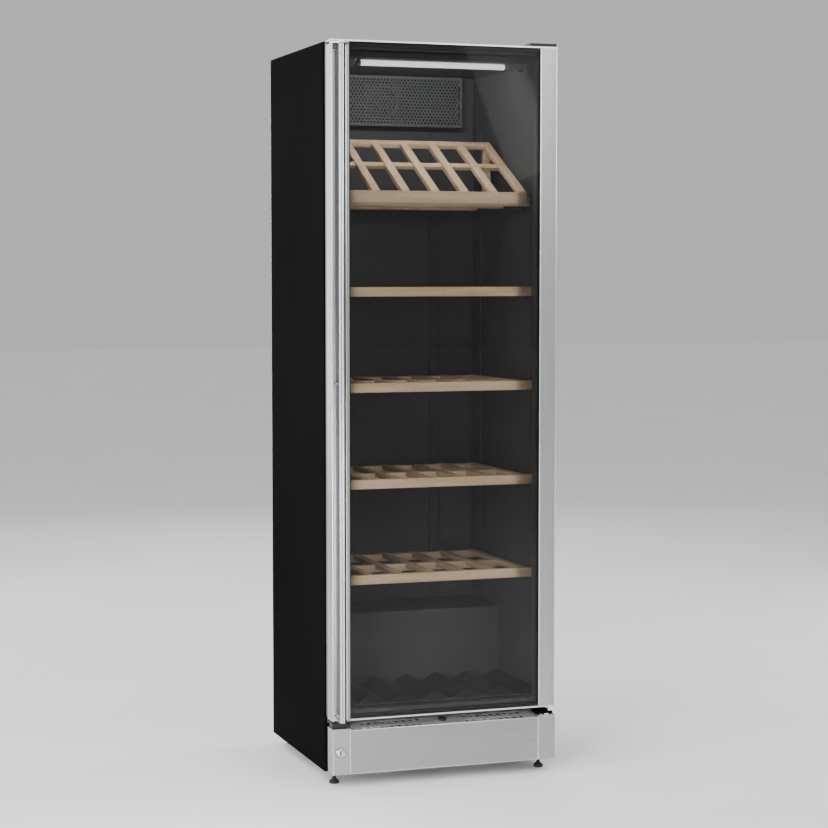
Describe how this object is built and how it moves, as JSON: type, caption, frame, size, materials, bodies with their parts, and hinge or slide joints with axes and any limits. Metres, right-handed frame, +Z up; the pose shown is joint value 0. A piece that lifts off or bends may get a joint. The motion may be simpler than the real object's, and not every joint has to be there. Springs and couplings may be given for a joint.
{
  "type": "wine cooler",
  "caption": "Tall free-standing wine cooler with a glazed aluminium-framed door, beech shelves, a tilted display rack, an interior lamp and a vented lockable plinth.",
  "frame": {"origin": "on the floor, under the middle of the whole object's box", "axes": "+Z up, the door faces -Y, the hinges are on the +X side"},
  "size_m": [0.595, 0.595, 1.85],
  "materials": {
    "black_steel": "satin",
    "dark_liner": "satin",
    "black_plastic": "matte",
    "aluminium": "satin",
    "bright_steel": "satin",
    "smoked_glass": "gloss",
    "clear_glass": "gloss",
    "beech": "satin",
    "lamp_glass": "gloss",
    "white_plastic": "satin",
    "chrome": "polished",
    "zinc_steel": "satin",
    "foam": "matte",
    "rubber": "matte"
  },
  "bodies": {
    "cabinet": {"side_panel_left": "black_steel", "side_panel_right": "black_steel", "top_panel": "black_steel", "back_panel": "zinc_steel", "base_pan": "black_steel", "insulation_foam": "foam", "liner_left": "dark_liner", "liner_right": "dark_liner", "liner_back": "dark_liner", "liner_ceiling": "dark_liner", "liner_floor": "dark_liner", "liner_step": "dark_liner", "front_frame": "dark_liner", "duct_cover": "dark_liner", "fan_frame": "black_plastic", "evaporator": "zinc_steel", "lamp_housing": "white_plastic", "lamp_tube": "lamp_glass", "back_rail_left": "dark_liner", "back_rail_right": "dark_liner", "shelf_1": "beech", "shelf_2": "beech", "shelf_3": "beech", "shelf_4": "beech", "shelf_5": "beech", "display_rack": "beech", "bottle_tray": "black_plastic", "compressor_plate": "zinc_steel", "compressor": "black_steel", "drip_pan": "white_plastic", "condenser": "black_steel", "mains_inlet": "black_plastic", "plinth_cap_left": "aluminium", "plinth_cap_right": "aluminium", "plinth_panel": "bright_steel", "vent_grille": "aluminium", "lock_housing": "black_plastic", "hinge_bracket_lower": "black_steel", "hinge_pin_lower": "chrome", "hinge_bracket_upper": "zinc_steel", "hinge_cover": "black_plastic"},
    "door": {"handle_stile": "aluminium", "handle_bar": "aluminium", "hinge_stile": "aluminium", "door_rail_top": "aluminium", "door_rail_bottom": "aluminium", "glass_outer": "smoked_glass", "glass_inner": "clear_glass", "glass_spacer": "black_plastic", "door_inner_frame": "black_plastic", "door_gasket": "rubber"},
    "fan": {"fan_rotor": "black_plastic"},
    "thermostat": {"thermostat_knob": "black_plastic"},
    "lock_key_cylinder": {"lock_cylinder": "chrome"},
    "lock_bolt_body": {"lock_bolt": "chrome"},
    "foot_left_body": {"foot_left": "rubber"},
    "foot_right_body": {"foot_right": "rubber"},
    "roller_left_body": {"roller_left": "white_plastic"},
    "roller_right_body": {"roller_right": "white_plastic"},
    "light_button": {"light_switch": "black_plastic"}
  },
  "joints": [
    {"name": "door_swing", "type": "hinge", "parent": "cabinet", "child": "door", "pos_m": [0.2865, -0.2675, 1], "axis": [0, 0, 1], "range_deg": [0, 115]},
    {"name": "lock_turn", "type": "hinge", "parent": "cabinet", "child": "lock_key_cylinder", "pos_m": [-0.277, -0.2795, 0.0885], "axis": [0, 1, 0], "range_deg": [0, 90]},
    {"name": "lock_bolt_slide", "type": "slide", "parent": "cabinet", "child": "lock_bolt_body", "axis": [0, 0, 1], "range_m": [0, 0.014]},
    {"name": "thermostat_turn", "type": "hinge", "parent": "cabinet", "child": "thermostat", "pos_m": [0, -0.2499, 0.14753], "axis": [0, -0.2419, 0.9703], "range_deg": [0, 270]},
    {"name": "fan_spin", "type": "hinge", "parent": "cabinet", "child": "fan", "pos_m": [0, 0.2205, 1.737], "axis": [0, 1, 0], "continuous": true},
    {"name": "roller_left_spin", "type": "hinge", "parent": "cabinet", "child": "roller_left_body", "pos_m": [-0.264, 0.2545, 0.015], "axis": [1, 0, 0], "continuous": true},
    {"name": "roller_right_spin", "type": "hinge", "parent": "cabinet", "child": "roller_right_body", "pos_m": [0.264, 0.2545, 0.015], "axis": [1, 0, 0], "continuous": true},
    {"name": "foot_left_screw", "type": "slide", "parent": "cabinet", "child": "foot_left_body", "axis": [0, 0, -1], "range_m": [0, 0.015]},
    {"name": "foot_right_screw", "type": "slide", "parent": "cabinet", "child": "foot_right_body", "axis": [0, 0, -1], "range_m": [0, 0.015]},
    {"name": "light_switch_press", "type": "slide", "parent": "cabinet", "child": "light_button", "axis": [0, 0, 1], "range_m": [0, 0.003], "stiffness_N_per_m": 150}
  ],
  "couplings": [
    {"joint": "lock_bolt_slide", "follows": "lock_turn", "m_per_rad": 0.0089}
  ]
}
